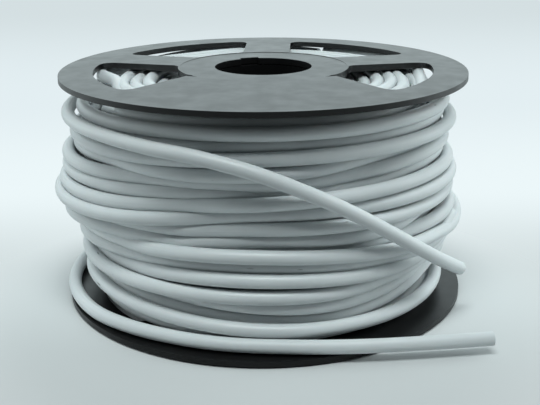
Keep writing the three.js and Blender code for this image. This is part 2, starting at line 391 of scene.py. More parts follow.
def place_piece(
    piece: bpy.types.Object, name: str, slot: Slot, finish: bpy.types.Material, *nodes: str
) -> None:
    """Names a finished piece, dresses it and lets it ride on the reel.

    Args:
        piece: the finished object.
        name: its name.
        slot: the record's slot that matches its finish; not used.
        finish: its material.
        nodes: the CAD nodes that it stands for.
    """
    piece.name = name
    piece.data.name = name
    piece.data.materials.clear()
    piece.data.materials.append(finish)
    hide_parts(*nodes)
    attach(piece, BODY)
    LOG.info("%s: %d faces, for %s", name, len(piece.data.polygons), ", ".join(nodes))


def polar(radius: float, angle: float) -> Vector:
    """The point at a radius and an angle in radians, at height nought."""
    return Vector((radius * math.cos(angle), radius * math.sin(angle), 0.0))


def arc(radius: float, start: float, end: float, steps: int) -> list[Vector]:
    """Points along an arc round the axis, ends included."""
    return [polar(radius, start + (end - start) * step / steps) for step in range(steps + 1)]


def rounded(before: Vector, corner: Vector, after: Vector, steps: int = 6) -> list[Vector]:
    """Points of a rounded corner, between its two tangent points."""
    shares = [step / steps for step in range(steps + 1)]
    return [
        (1 - share) ** 2 * before + 2 * share * (1 - share) * corner + share**2 * after for share in shares
    ]


def cylinder(radius: float, bottom: float, top: float, steps: int = 192) -> bpy.types.Object:
    """Adds a solid cylinder on the axis.

    Args:
        radius: its radius.
        bottom: height of its lower face.
        top: height of its upper face.
        steps: faces round it.

    Returns:
        The cylinder, with its place in its mesh.
    """
    deselect_all()
    middle = (0.0, 0.0, (top + bottom) / 2)
    bpy.ops.mesh.primitive_cylinder_add(vertices=steps, radius=radius, depth=top - bottom, location=middle)
    piece = bpy.context.object
    apply_place(piece)
    return piece


def edit_faces(piece: bpy.types.Object, test: Callable[[bpy.types.MeshPolygon], bool]) -> None:
    """Opens a piece in edit mode with some of its faces selected.

    Args:
        piece: the mesh object.
        test: says whether a face is selected.
    """
    make_active(piece)
    bpy.ops.object.mode_set(mode="EDIT")
    bpy.ops.mesh.select_mode(type="FACE")
    bpy.ops.mesh.select_all(action="DESELECT")
    bpy.ops.object.mode_set(mode="OBJECT")
    for face in piece.data.polygons:
        face.select = test(face)
    bpy.ops.object.mode_set(mode="EDIT")


def pipe(inner: float, outer: float, bottom: float, top: float, steps: int = 192) -> bpy.types.Object:
    """Adds a round pipe on the axis: a cylinder with its ends inset and bridged.

    Args:
        inner: radius of its bore.
        outer: its outer radius.
        bottom: height of its lower face.
        top: height of its upper face.
        steps: faces round it.

    Returns:
        The pipe, with its place in its mesh.
    """
    piece = cylinder(outer, bottom, top, steps)
    edit_faces(piece, lambda face: abs(face.normal.z) > UPRIGHT)
    bpy.ops.mesh.inset(thickness=outer - inner)
    bpy.ops.mesh.bridge_edge_loops()
    bpy.ops.mesh.select_all(action="SELECT")
    bpy.ops.mesh.normals_make_consistent(inside=False)
    bpy.ops.object.mode_set(mode="OBJECT")
    return piece


def prism(outline: list[Vector], bottom: float, top: float) -> bpy.types.Object:
    """Adds an upright prism, carved out of a block along each side.

    Args:
        outline: the corners of a convex outline, listed anticlockwise.
        bottom: height of its lower face.
        top: height of its upper face.

    Returns:
        The prism, with its place in its mesh.
    """
    deselect_all()
    middle = sum(outline, Vector()) / len(outline)
    reach = BLOCK_MARGIN * max((point - middle).length for point in outline)
    bpy.ops.mesh.primitive_cube_add(size=1.0, location=middle + Vector((0.0, 0.0, (top + bottom) / 2)))
    block = bpy.context.object
    block.scale = (reach, reach, top - bottom)
    apply_place(block)
    bpy.ops.object.mode_set(mode="EDIT")
    for here, there in zip(outline, outline[1:] + outline[:1]):
        along = there - here
        outward = Vector((along.y, -along.x, 0.0)).normalized()
        bpy.ops.mesh.select_all(action="SELECT")
        bpy.ops.mesh.bisect(plane_co=here, plane_no=outward, use_fill=True, clear_outer=True)
    bpy.ops.mesh.select_all(action="SELECT")
    bpy.ops.mesh.normals_make_consistent(inside=False)
    bpy.ops.object.mode_set(mode="OBJECT")
    return block


def soften_edges(piece: bpy.types.Object, width: float) -> None:
    """Rounds a moulding's sharp edges and shades its flats flat.

    Args:
        piece: the moulding.
        width: how far the rounding reaches from an edge.
    """
    apply_modifier(
        piece,
        "BEVEL",
        width=width,
        segments=EDGE_STEPS,
        limit_method="ANGLE",
        angle_limit=SHARP,
        use_clamp_overlap=True,
    )
    smooth(piece, EDGE_SHADING)
    apply_modifier(piece, "WEIGHTED_NORMAL", weight=100, keep_sharp=True)


# ---- Camera, light and floor ----


@dataclass(frozen=True)
class Camera:
    """The photograph's point of view."""

    place: Point = (1.892 * MM, -296.470 * MM, 123.692 * MM)
    pitch: float = 0.2706698  # radians below the horizon
    roll: float = -0.0066243
    lens: float = 64.44
    shift: float = -45 / 540  # in picture widths
    nearest: float = 10 * MM

    def build(self) -> None:
        """Adds the camera and makes it the scene's."""
        data = bpy.data.cameras.new("camera")
        data.lens = self.lens
        data.shift_y = self.shift
        data.clip_start = self.nearest
        camera = bpy.data.objects.new("camera", data)
        turn = Matrix.Rotation(math.pi / 2 - self.pitch, 4, "X") @ Matrix.Rotation(self.roll, 4, "Z")
        camera.matrix_world = Matrix.Translation(self.place) @ turn
        bpy.context.scene.collection.objects.link(camera)
        bpy.context.scene.camera = camera


@dataclass(frozen=True)
class Lamp:
    """A soft rectangular lamp that points at a place."""

    name: str
    place: Point
    target: Point
    width: float
    height: float
    power: float
    mirrored: bool = True  # whether glossy surfaces show it
    colour: Colour = (0.91, 1.0, 1.0)

    def build(self) -> None:
        """Adds the lamp."""
        data = bpy.data.lights.new(self.name, "AREA")
        data.shape = "RECTANGLE"
        data.size = self.width
        data.size_y = self.height
        data.energy = self.power
        data.color = self.colour
        lamp = bpy.data.objects.new(self.name, data)
        lamp.location = self.place
        lamp.visible_glossy = self.mirrored
        direction = Vector(self.target) - Vector(self.place)
        lamp.rotation_euler = direction.to_track_quat("-Z", "Y").to_euler()
        bpy.context.scene.collection.objects.link(lamp)


@dataclass(frozen=True)
class Fade:
    """A strength that grows evenly from one value of Y to another."""

    start: float
    end: float
    weakest: float
    strongest: float


@dataclass(frozen=True)
class Studio:
    """A pale floor under a soft box above the front, with bright sides and back."""

    side_light: Colour = (0.84, 0.98, 1.0)
    lit: Fade = Fade(-0.4, 1.0, 0.08, 0.80)  # the world's light
    mirrored: Fade = Fade(-0.1, 0.9, 0.02, 1.27)  # and its look in glossy surfaces
    # painted shade: the floor's colour darkens towards the camera's side, standing in for the dark front of
    # the room and its weaker bounce
    floor_tones_painted_shade: Tones = (
        (-0.30, (0.142, 0.143, 0.144)),
        (-0.11, (0.457, 0.467, 0.471)),
        (0.00, (0.66, 0.678, 0.684)),
    )
    floor_size: float = 6.0
    shadow_middle: Point = (0.0, -0.025, 0.0)
    clear_of_shadow: tuple[float, float] = (0.066, 0.100)  # where the pale look starts and is full
    # painted light and shade: the glow that the camera sees away from the reel is brightest in a band just
    # behind it and dimmer in front and far back, as light falls on a backdrop
    horizon: Tones = (
        (-0.10, (0.56, 0.62, 0.63)),
        (0.00, (0.66, 0.74, 0.75)),
        (0.10, (0.84, 0.93, 0.95)),
        (0.28, (0.77, 0.86, 0.89)),
        (0.74, (0.66, 0.74, 0.76)),
    )
    lamps: tuple[Lamp, ...] = (
        Lamp("top_box", (0.0, -0.28, 0.62), (0.0, -0.03, 0.02), 0.36, 0.18, 2.9),
        Lamp("left_box", (-0.66, 0.12, 0.26), (0.0, 0.0, 0.04), 0.50, 0.46, 2.3, False),
        Lamp("right_box", (0.66, 0.12, 0.26), (0.0, 0.0, 0.04), 0.50, 0.46, 3.3, False),
    )

    def build(self) -> None:
        """Adds the lamps, the world and the floor."""
        for lamp in self.lamps:
            lamp.build()
        self.build_world()
        self.build_floor()
        bpy.context.scene.view_settings.view_transform = "Standard"

    def build_world(self) -> None:
        """Pale behind and at the sides, dark on the camera's side."""
        world = bpy.data.worlds.new("studio")
        world.use_nodes = True
        bpy.context.scene.world = world
        graph = NodeGraph(world.node_tree)
        direction = graph.node("ShaderNodeTexCoord").outputs["Generated"]
        parts = graph.node("ShaderNodeSeparateXYZ", Vector=direction)
        strengths = (
            graph.ranged(parts.outputs["Y"], fade.start, fade.end, fade.weakest, fade.strongest)
            for fade in (self.lit, self.mirrored)
        )
        lighting, reflection = (
            graph.node("ShaderNodeBackground", Color=self.side_light, Strength=strength)
            for strength in strengths
        )
        seen = graph.node("ShaderNodeBackground", Color=self.horizon[-1][1], Strength=1.0)
        path = graph.node("ShaderNodeLightPath")
        shiny = graph.mix_shaders(path.outputs["Is Glossy Ray"], lighting, reflection)
        final = graph.mix_shaders(path.outputs["Is Camera Ray"], shiny, seen)
        output = graph.node("ShaderNodeOutputWorld")
        graph.set_input(output, "Surface", final.outputs[0])

    def build_floor(self) -> None:
        """A matt floor, darker in front as painted shade, which the camera sees away from the reel as a pale
        glow graded with painted light and shade.
        """
        deselect_all()
        bpy.ops.mesh.primitive_plane_add(size=self.floor_size)
        floor = bpy.context.object
        floor.name = "floor"
        material = bpy.data.materials.new("floor")
        material.use_nodes = True
        graph = NodeGraph(material.node_tree)
        place = graph.node("ShaderNodeTexCoord").outputs["Object"]
        parts = graph.node("ShaderNodeSeparateXYZ", Vector=place)
        matt = graph.node("ShaderNodeBsdfDiffuse", Color=graph.ramp(parts.outputs["Y"], self.floor_tones_painted_shade))
        # painted light and shade: the glow takes the graded horizon tones
        pale = graph.node("ShaderNodeEmission", Strength=1.0)
        graph.set_input(pale, "Color", graph.ramp(parts.outputs["Y"], self.horizon))
        distance = graph.node("ShaderNodeVectorMath", operation="DISTANCE")
        graph.tree.links.new(place, distance.inputs[0])
        distance.inputs[1].default_value = self.shadow_middle
        near, far = self.clear_of_shadow
        away = graph.node("ShaderNodeMapRange", From_Min=near, From_Max=far)
        away.interpolation_type = "SMOOTHSTEP"
        graph.set_input(away, "Value", distance.outputs["Value"])
        path = graph.node("ShaderNodeLightPath")
        share = graph.node("ShaderNodeMath", operation="MULTIPLY")
        graph.tree.links.new(away.outputs["Result"], share.inputs[0])
        graph.tree.links.new(path.outputs["Is Camera Ray"], share.inputs[1])
        output = graph.node("ShaderNodeOutputMaterial")
        mixed = graph.mix_shaders(share.outputs["Value"], matt, pale)
        graph.set_input(output, "Surface", mixed.outputs[0])
        floor.data.materials.append(material)


# ---- Cord ----


def reach_along(path: np.ndarray) -> np.ndarray:
    """How far along a path each of its points lies."""
    return np.concatenate([[0.0], np.cumsum(np.linalg.norm(np.diff(path, axis=0), axis=1))])


@dataclass(frozen=True)
class CordTube:
    """Sweeps the cord's round section along a path."""

    radius: float = 2.0 * MM
    sides: int = 20

    def frames(self, path: np.ndarray) -> tuple[np.ndarray, np.ndarray]:
        """Two directions across the path at each point.

        Args:
            path: the centre line's points.

        Returns:
            The outward and the upward directions.
        """
        along = np.gradient(path, axis=0)
        along /= np.linalg.norm(along, axis=1, keepdims=True)
        outward = path * (1.0, 1.0, 0.0)
        outward -= along * np.sum(outward * along, axis=1, keepdims=True)
        outward /= np.linalg.norm(outward, axis=1, keepdims=True)
        return outward, np.cross(along, outward)

    def mesh(self, name: str, path: np.ndarray) -> bpy.types.Object:
        """A closed tube with flat cut ends.

        Args:
            name: the object's name.
            path: the centre line's points.

        Returns:
            The object, with a UV map in metres round and along the cord.
        """
        sides = np.arange(self.sides)
        turn = sides * 2 * math.pi / self.sides
        outward, upward = self.frames(path)
        ring = np.cos(turn)[None, :, None] * outward[:, None, :]
        ring = ring + np.sin(turn)[None, :, None] * upward[:, None, :]
        corners = (path[:, None, :] + self.radius * ring).reshape(-1, 3)
        first = np.arange(len(path) - 1)[:, None] * self.sides
        here, beside = first + sides, first + (sides + 1) % self.sides
        quads = np.stack([here, beside, beside + self.sides, here + self.sides], axis=2)
        ends = [sides[::-1].tolist(), (sides + len(corners) - self.sides).tolist()]
        mesh = bpy.data.meshes.new(name)
        mesh.from_pydata(corners.tolist(), [], quads.reshape(-1, 4).tolist() + ends)
        reach = reach_along(path)
        width = 2 * math.pi * self.radius / self.sides
        left = np.broadcast_to(sides * width, quads.shape[:2])
        low, high = (np.broadcast_to(edge[:, None], quads.shape[:2]) for edge in (reach[:-1], reach[1:]))
        square = [(left, low), (left + width, low), (left + width, high), (left, high)]
        lay = np.stack([np.stack(corner, axis=2) for corner in square], axis=2).reshape(-1, 2)
        lay = np.concatenate([lay, np.zeros((2 * self.sides, 2))])
        mesh.uv_layers.new(name=TUBE_UV).uv.foreach_set("vector", lay.astype(np.float32).ravel())
        mesh.update()
        piece = bpy.data.objects.new(name, mesh)
        bpy.context.scene.collection.objects.link(piece)
        smooth(piece, CORD_SHADING)
        return piece


def smooth_route(points: np.ndarray, step: float) -> np.ndarray:
    """A smooth curve through points, with even steps.

    Args:
        points: the points that the curve passes through.
        step: distance between the returned points.

    Returns:
        The points of the curve.
    """
    reach = reach_along(points)
    slopes = np.gradient(points, reach, axis=0)
    fine = np.linspace(0.0, reach[-1], max(2, int(round(reach[-1] / step))) + 1)
    index = np.clip(np.searchsorted(reach, fine, side="right") - 1, 0, len(points) - 2)
    span = (reach[index + 1] - reach[index])[:, None]
    share = ((fine - reach[index])[:, None]) / span
    return (
        (2 * share**3 - 3 * share**2 + 1) * points[index]
        + (share**3 - 2 * share**2 + share) * span * slopes[index]
        + (-2 * share**3 + 3 * share**2) * points[index + 1]
        + (share**3 - share**2) * span * slopes[index + 1]
    )


# Where the loose ends lie, in millimetres.
UPPER_END_ROUTE = (
    (19.78, 52.51, 65.89),
    (16.41, 54.66, 65.94),
    (-28.2, 50.9, 65.8),
    (-37.9, 44.8, 64.8),
    (-46.4, 36.9, 63.2),
    (-53.0, 27.4, 61.6),
    (-57.6, 16.4, 60.3),
    (-59.8, 4.6, 59.6),
    (-59.7, -7.4, 59.4),
    (-57.0, -19.2, 59.5),
    (-50.7, -32.2, 59.6),
    (-41.2, -43.6, 59.4),
    (-31.4, -51.1, 58.8),
    (-16.0, -57.8, 57.3),
    (-3.2, -59.9, 54.2),
    (9.6, -59.2, 49.0),
    (22.8, -55.7, 41.9),
    (36.9, -49.0, 32.2),
    (49.8, -38.6, 21.9),
    (57.9, -28.9, 15.0),
)
LOWER_END_ROUTE = (
    (44.3, 25.6, 4.4),
    (42.3, 29.0, 4.4),
    (35.7, 37.7, 4.4),
    (26.4, 46.0, 4.4),
    (13.9, 53.2, 4.4),
    (-0.6, 57.5, 4.4),
    (-15.7, 57.8, 4.4),
    (-30.4, 52.8, 4.4),
    (-43.4, 43.3, 4.4),
    (-53.2, 30.6, 4.4),
    (-59.3, 15.6, 4.4),
    (-61.2, 0.0, 4.4),
    (-59.6, -13.4, 4.4),
    (-55.2, -25.4, 4.4),
    (-48.2, -36.2, 4.4),
    (-39.0, -44.2, 4.4),
    (-28.4, -50.3, 4.4),
    (-17.6, -54.6, 4.4),
    (-6.4, -57.1, 4.4),
    (6.0, -58.2, 4.4),
    (18.0, -58.5, 4.4),
    (31.0, -57.9, 4.4),
    (42.4, -56.7, 4.4),
    (53.5, -55.3, 4.4),
    (62.8, -54.1, 4.4),
)


@dataclass(frozen=True)
class LooseEnd:
    """One loose end of the cord, from the winding to its cut end."""

    name: str
    node: str
    route: tuple[Point, ...]
    tube: CordTube = CordTube()
    step: float = 1.2 * MM

    def build(self, finish: bpy.types.Material) -> None:
        """Args:
            finish: the cord's material.
        """
        path = smooth_route(np.array(self.route) * MM, self.step)
        piece = self.tube.mesh(self.name, path)
        place_piece(piece, self.name, Slot.CORD, finish, self.node)


@dataclass(frozen=True)
class Turn:
    """One turn of the outer layer, as it is seen across the front of the reel."""

    seen: tuple[float, ...]  # its middle's height at each station, in flange radii
    sunk: tuple[float, ...] = (0.0,) * 7  # how far it lies further in, in millimetres
    bend: tuple[float, float] | None = None  # both, at the station of bends


@dataclass(frozen=True)
class Layer:
    """One layer under the outer turns, as its end turns lie at the flanges."""

    left_dip: float = 0.0  # in millimetres, how far its end turn sinks at the left
    right_dip: float = 0.0
    right_lean: float = 0.0  # how far its end turn spreads at the right


@dataclass(frozen=True)
class Winding:
    """The cord on the drum: its outer turns and the layers under them.

    The fields are in millimetres and degrees. Angles count from the front and
    grow towards the right.
    """

    stations: tuple[float, ...] = (-60.0, -40.0, -20.0, 0.0, 20.0, 40.0, 60.0)
    bend_station: float = 50.0
    step: float = 3.0  # between the outer path's points
    knot_blur: int = 4  # in steps, how far the turns as read are smoothed
    settled_blur: int = 3  # and as pushed apart
    radius: float = 55.4
    flange_radius: float = 62.5
    lit_above: float = 0.8  # a turn's lit middle is seen this much above its centre
    view_slope: float = 0.31  # and this much higher for each millimetre it is sunk
    left_bulge: tuple[tuple[float, float], ...] = (  # heights, each with its bulge
        (4.4, 0.0),
        (12.0, 0.3),
        (18.0, 1.0),
        (24.0, 2.9),
        (30.0, 6.0),
        (34.0, 8.0),
        (37.0, 8.9),
        (41.0, 8.4),
        (46.0, 6.2),
        (52.0, 3.4),
        (58.0, 1.4),
        (66.6, 0.1),
    )
    right_bulge: tuple[tuple[float, float], ...] = (
        (4.4, 0.0),
        (9.0, -0.4),
        (12.8, -1.6),
        (18.0, 3.6),
        (24.9, 8.8),
        (29.0, 6.8),
        (34.0, 1.6),
        (41.6, 3.2),
        (47.5, 1.0),
        (53.0, 1.4),
        (57.5, 2.6),
        (62.0, 0.8),
        (66.6, 0.0),
    )
    end_angle: float = 159.1  # where the upper loose end goes on
    end_height: float = 65.9
    end_radius: float = 56.1
    tube: CordTube = CordTube()
    first_radius: float = 27.6
    layer_pitch: float = 3.92
    levels: int = 15
    bottom: float = 4.4
    top: float = 66.6
    inner_steps: int = 60  # in each turn
    crossing: float = 48.0  # in which a turn steps to the next one
    crossing_end: float = 22.0
    left_window: tuple[float, float] = (-105.0, 45.0)  # its middle and its reach
    right_window: tuple[float, float] = (78.0, 45.0)
    inner_tube: CordTube = CordTube(sides=10)
    foot: tuple[tuple[float, float, float], ...] = (  # before the first turn: angle, height, sunk
        (-338.0, 4.4, 8.2),
        (-250.0, 5.0, 7.5),
        (-190.0, 6.6, 4.6),
        (-110.0, 7.6, 3.0),
    )
    layers: tuple[Layer, ...] = (
        Layer(2.2, 2.6),
        Layer(2.2, 1.6),
        Layer(0.2, 0.6),
        Layer(0.8, 0.3),
        Layer(0.3, 0.2, 2.0),
        Layer(4.2, 1.4, 1.2),
    )
    last_length: float = 357.0  # of the last turn, which swings inwards and rises
    last_start: float = 30.0  # in which its swings set in
    last_end: float = 12.0
    raised_from: float = 60.0  # how far from the front it starts to rise
    raised_over: float = 25.0
    swings: tuple[tuple[float, float, float], ...] = (  # middle, reach and swing
        (-150.0, 40.0, 4.2),
        (-74.0, 27.0, 8.1),
        (72.0, 36.0, 3.1),
    )
    deepest: float = 51.1  # the least radius of a turn that shows
    highest: float = 66.8
    spacing: float = 3.92  # between turns that press on each other
    hidden: float = 4.5  # a turn that is sunk further presses on no other
    loose_below: float = 1.2  # a turn that is sunk further gives way fully
    firmness: float = 0.1  # and how much any other does
    tie_break: float = 0.05  # every other turn counts as sunk by this much more
    rounds: int = 90
    neighbours: int = 3
    sinking: float = 0.4  # the share of an overlap that a round takes out inwards
    pushing: float = 0.3  # and up and down
    out_of_reach: float = 1e3  # the height of a place without a turn
    turns: tuple[Turn, ...] = (
        Turn((0.135, 0.13, 0.118, 0.1, 0.1, 0.1, 0.12), (4.3, 1.4, 1.8, 3.0, 4.3, 4.3, 4.3)),
        Turn((0.198, 0.173, 0.163, 0.127, 0.123, 0.122, 0.118)),
        Turn(
            (0.225, 0.213, 0.19, 0.162, 0.15, 0.15, 0.28),
            (2.6, 2.2, 2.4, 2.4, 3.2, 3.8, -0.4),
            bend=(0.16, 3.0),
        ),
        Turn(
            (0.285, 0.28, 0.262, 0.24, 0.222, 0.198, 0.33),
            (5.5, 5.5, 3.0, 0.6, 0.2, 0.0, 3.4),
            bend=(0.2, 0.0),
        ),
        Turn(
            (0.29, 0.29, 0.295, 0.297, 0.285, 0.262, 0.36),
            (0.0, 0.0, 0.0, 0.0, 0.0, 0.0, 3.6),
            bend=(0.264, 0.0),
        ),
        Turn(
            (0.345, 0.36, 0.378, 0.383, 0.355, 0.333, 0.4),
            (3.0, 0.2, 0.0, 0.0, 0.0, 0.0, 3.4),
            bend=(0.33, 0.0),
        ),
        Turn(
            (0.372, 0.415, 0.432, 0.435, 0.412, 0.388, 0.42),
            (0.0, 1.6, 1.6, 1.6, 1.6, 1.6, 1.6),
            bend=(0.385, 1.6),
        ),
        Turn((0.43, 0.468, 0.488, 0.488, 0.472, 0.437, 0.415), (0.6, 0.0, 0.0, 0.0, 0.0, 0.0, 0.6)),
        Turn((0.492, 0.53, 0.545, 0.53, 0.495, 0.478, 0.485), (0.0, 0.3, 4.6, 4.6, 2.6, 1.4, 0.0)),
        Turn((0.505, 0.53, 0.548, 0.545, 0.528, 0.52, 0.535), (4.2, 5.5, 3.6, 3.2, 0.3, 0.3, 0.3)),
        Turn((0.562, 0.585, 0.597, 0.612, 0.598, 0.588, 0.595), (4.2, 5.0, 2.4, 0.2, 0.0, 0.0, 0.0)),
        Turn((0.58, 0.598, 0.635, 0.67, 0.67, 0.67, 0.665), (0.0, 0.0, 0.0, 1.8, 1.4, 0.2, 0.0)),
        Turn((0.625, 0.656, 0.692, 0.722, 0.73, 0.735, 0.737), (0.2, 0.0, 0.3, 0.0, 0.0, 0.4, 0.0)),
        Turn(
            (0.7, 0.72, 0.745, 0.765, 0.775, 0.785, 0.8),
            (0.8, 0.8, 3.6, 4.9, 4.9, 3.4, 0.3),
            bend=(0.79, 2.2),
        ),
        Turn((0.752, 0.773, 0.778, 0.784, 0.8, 0.818, 0.86), (0.0, 1.4, 1.0, 1.6, 1.6, 0.0, 0.0)),
        Turn((0.803, 0.822, 0.83, 0.836, 0.85, 0.865, 0.895), (1.4, 0.0, 0.0, 0.0, 0.0, 1.6, 1.6)),
        Turn((0.87, 0.88, 0.9, 0.92, 0.918, 0.922, 0.925)),
        Turn((0.935, 0.96, 0.968, 0.968, 0.97, 0.977, 0.98), (3.0, 2.0, 2.0, 2.0, 2.0, 1.8, 1.8)),
        Turn((1.0, 1.018, 1.02, 1.02, 1.02, 1.025, 1.03), (0.6, 0.2, 0.0, -0.6, -1.0, -0.8, 0.0)),
        Turn((1.05, 1.055, 1.06, 1.07, 1.07, 1.065, 1.065), (1.6, 1.8, 2.5, 3.0, 3.0, 2.5, 1.2)),
    )

    def build(self, finish: bpy.types.Material) -> None:
        """Adds the outer turns and the layers under them.

        Args:
            finish: the cord's material.
        """
        outer = self.tube.mesh("outer_turns", self.outer_path())
        place_piece(outer, "outer_turns", Slot.CORD, finish, "cord_outer_turns")
        inner = self.inner_tube.mesh("inner_layers", self.inner_path())
        place_piece(inner, "inner_layers", Slot.CORD, finish, "cord_inner_layers")

    def points(self, angle: np.ndarray, radius: np.ndarray, height: np.ndarray) -> np.ndarray:
        """Points round the axis, in metres, from degrees and millimetres."""
        turn = np.radians(angle)
        return np.stack([radius * np.sin(turn), -radius * np.cos(turn), height], axis=1) * MM

    def blurred(self, values: np.ndarray, width: int) -> np.ndarray:
        """Takes the corners out of a row of values.

        Args:
            values: the values, evenly apart.
            width: how many values to each side count.

        Returns:
            The smoothed values.
        """
        padded = np.pad(values, width, mode="edge")
        kernel = np.hanning(2 * width + 3)[1:-1]
        return np.convolve(padded, kernel / kernel.sum(), mode="valid")

    def height(self, seen: float, sunk: float) -> float:
        """The real height of a turn that is seen at a height in flange radii."""
        return seen * self.flange_radius - self.lit_above - self.view_slope * sunk

    def outer_path(self) -> np.ndarray:
        """The centre line of the outer layer, from its lowest turn up.

        Returns:
            The points, in metres.
        """
        knots = list(self.foot)
        for index, turn in enumerate(self.turns):
            lies = list(zip(self.stations, turn.seen, turn.sunk))
            if turn.bend:
                lies.insert(-1, (self.bend_station, *turn.bend))
            knots += [
                (station + 360.0 * index, self.height(seen, sunk), sunk) for station, seen, sunk in lies
            ]
        end_angle = self.end_angle + 360.0 * (len(self.turns) - 1)
        knots.append((end_angle, self.end_height, self.radius - self.end_radius))
        angles, heights, depths = np.array(knots).T
        fine = np.arange(angles[0], angles[-1], self.step)
        height, depth = (
            self.blurred(np.interp(fine, angles, values), self.knot_blur) for values in (heights, depths)
        )
        height, radius = (
            self.blurred(values, self.settled_blur)
            for values in self.settled(fine, height, self.radius - depth)
        )
        last = np.clip((fine - (fine[-1] - self.last_length)) / self.last_start, 0.0, 1.0)
        last *= np.clip((fine[-1] - fine) / self.last_end, 0.0, 1.0)
        for middle, reach, swing in self.swings:
            radius -= last * self.window(fine, middle, reach) * swing
        off_front = np.abs(self.wrapped(fine, 0.0)) - self.raised_from
        raised = last * np.clip(off_front / self.raised_over, 0.0, 1.0)
        height += raised * (self.highest - height)
        radius += self.blurred(self.swell(fine, height), self.settled_blur)
        return self.points(fine, radius, height)

    def settled(
        self, angle: np.ndarray, height: np.ndarray, radius: np.ndarray
    ) -> tuple[np.ndarray, np.ndarray]:
        """Pushes turns apart where they would run into each other.

        Args:
            angle: degrees from the front, a step apart.
            height: each point's height.
            radius: each point's distance from the axis.

        Returns:
            The new heights and radii.
        """
        columns = round(360.0 / self.step)
        start = round((angle[0] + 360.0) / self.step)
        rows = math.ceil((start + len(angle)) / columns)
        high = self.out_of_reach * (1.0 + np.arange(rows * columns) // columns)
        wide = np.full(rows * columns, self.deepest)
        used = slice(start, start + len(angle))
        high[used], wide[used] = height, radius
        rank = wide.reshape(rows, columns) - self.tie_break * (np.arange(rows)[:, None] % 2)
        loose = np.where(rank < self.radius - self.loose_below, 1.0, self.firmness)
        shown = rank > self.radius - self.hidden
        for _ in range(self.rounds):
            highs, wides = high.reshape(rows, columns), wide.reshape(rows, columns)
            for apart in range(1, self.neighbours + 1):
                rise = highs[apart:] - highs[:-apart]
                reach = wides[apart:] - wides[:-apart]
                needed = np.sqrt(np.clip(self.spacing**2 - rise**2, 0.0, None))
                both = shown[apart:] & shown[:-apart]
                lack = self.sinking * both * np.clip(needed - np.abs(reach), 0.0, None)
                upper_sinks = rank[apart:] < rank[:-apart]
                wides[apart:] -= np.where(upper_sinks, lack, 0.0)
                wides[:-apart] -= np.where(upper_sinks, 0.0, lack)
                np.clip(wides, self.deepest, None, out=wides, where=shown)
                reach = wides[apart:] - wides[:-apart]
                overlap = np.clip(self.spacing - np.hypot(rise, reach), 0.0, None)
                push = self.pushing * both * overlap * np.sign(rise)
                share = loose[apart:] / (loose[apart:] + loose[:-apart])
                highs[apart:] += push * share
                highs[:-apart] -= push * (1 - share)
            high[used] = np.clip(self.blurred(high[used], 1), self.bottom, self.highest)
            wide[used] = self.blurred(wide[used], 1)
        return high[used], wide[used]

    def swell(self, angle: np.ndarray, height: np.ndarray) -> np.ndarray:
        """How far the turns bulge at the left and right, in millimetres.

        Args:
            angle: degrees from the front.
            height: millimetres above the floor.

        Returns:
            The bulge at each point.
        """
        sideways = np.sin(np.radians(angle))
        left, right = (np.interp(height, *zip(*bulge)) for bulge in (self.left_bulge, self.right_bulge))
        return sideways**2 * np.where(sideways < 0, left, right)

    def inner_path(self) -> np.ndarray:
        """The centre line of the layers under the outer one.

        Every turn lies flat and steps to its next level, or to its next layer
        at a flange, in a short crossing under the sector without a window.

        Returns:
            The points, in metres.
        """
        steps = np.arange((len(self.layers) * self.levels - 1) * self.inner_steps)
        turn, step = np.divmod(steps, self.inner_steps)
        degrees = 360.0 / self.inner_steps
        angle = self.crossing_end + steps * degrees
        crossing_steps = self.crossing / degrees
        ease = np.clip((step - (self.inner_steps - crossing_steps)) / crossing_steps, 0.0, 1.0)
        ease = ease**2 * (3 - 2 * ease)
        height, radius = (
            here + (there - here) * ease
            for here, there in zip(self.lie(turn, angle), self.lie(turn + 1, angle))
        )
        return self.points(angle, radius, height)

    def lie(self, turn: np.ndarray, angle: np.ndarray) -> tuple[np.ndarray, np.ndarray]:
        """Where a turn of the inner layers lies. Every other layer runs down.

        Args:
            turn: the turn's number, from the innermost and lowest.
            angle: degrees from the front.

        Returns:
            The heights and radii, in millimetres.
        """
        layer, place = np.divmod(turn, self.levels)
        level = np.where(layer % 2 == 0, place, self.levels - 1 - place)
        left_dip, right_dip, right_lean = (
            np.array([getattr(each, name) for each in self.layers])[layer]
            for name in ("left_dip", "right_dip", "right_lean")
        )
        share = level / (self.levels - 1)
        left, right = (self.window(angle, *window) for window in (self.left_window, self.right_window))
        height = self.bottom + share * (self.top - self.bottom - left * left_dip - right * right_dip)
        middle, reach = self.right_window
        front = np.sin(np.radians(np.clip(self.wrapped(angle, middle), -reach, reach) * 2))
        radius = self.first_radius + self.layer_pitch * layer - share**4 * right * right_lean * front
        radius += self.swell(angle, height) * ((layer + 1) / len(self.layers)) ** 2
        return height, radius

    def wrapped(self, angle: np.ndarray, middle: float) -> np.ndarray:
        """Degrees from a middle angle, from -180 to 180."""
        return (angle - middle + 180.0) % 360.0 - 180.0

    def window(self, angle: np.ndarray, middle: float, reach: float) -> np.ndarray:
        """A soft bump round a middle angle, 1 there and 0 at its reach."""
        share = np.clip(1.0 - (self.wrapped(angle, middle) / reach) ** 2, 0.0, 1.0)
        return share**2 * (3 - 2 * share)


# ---- Reel ----


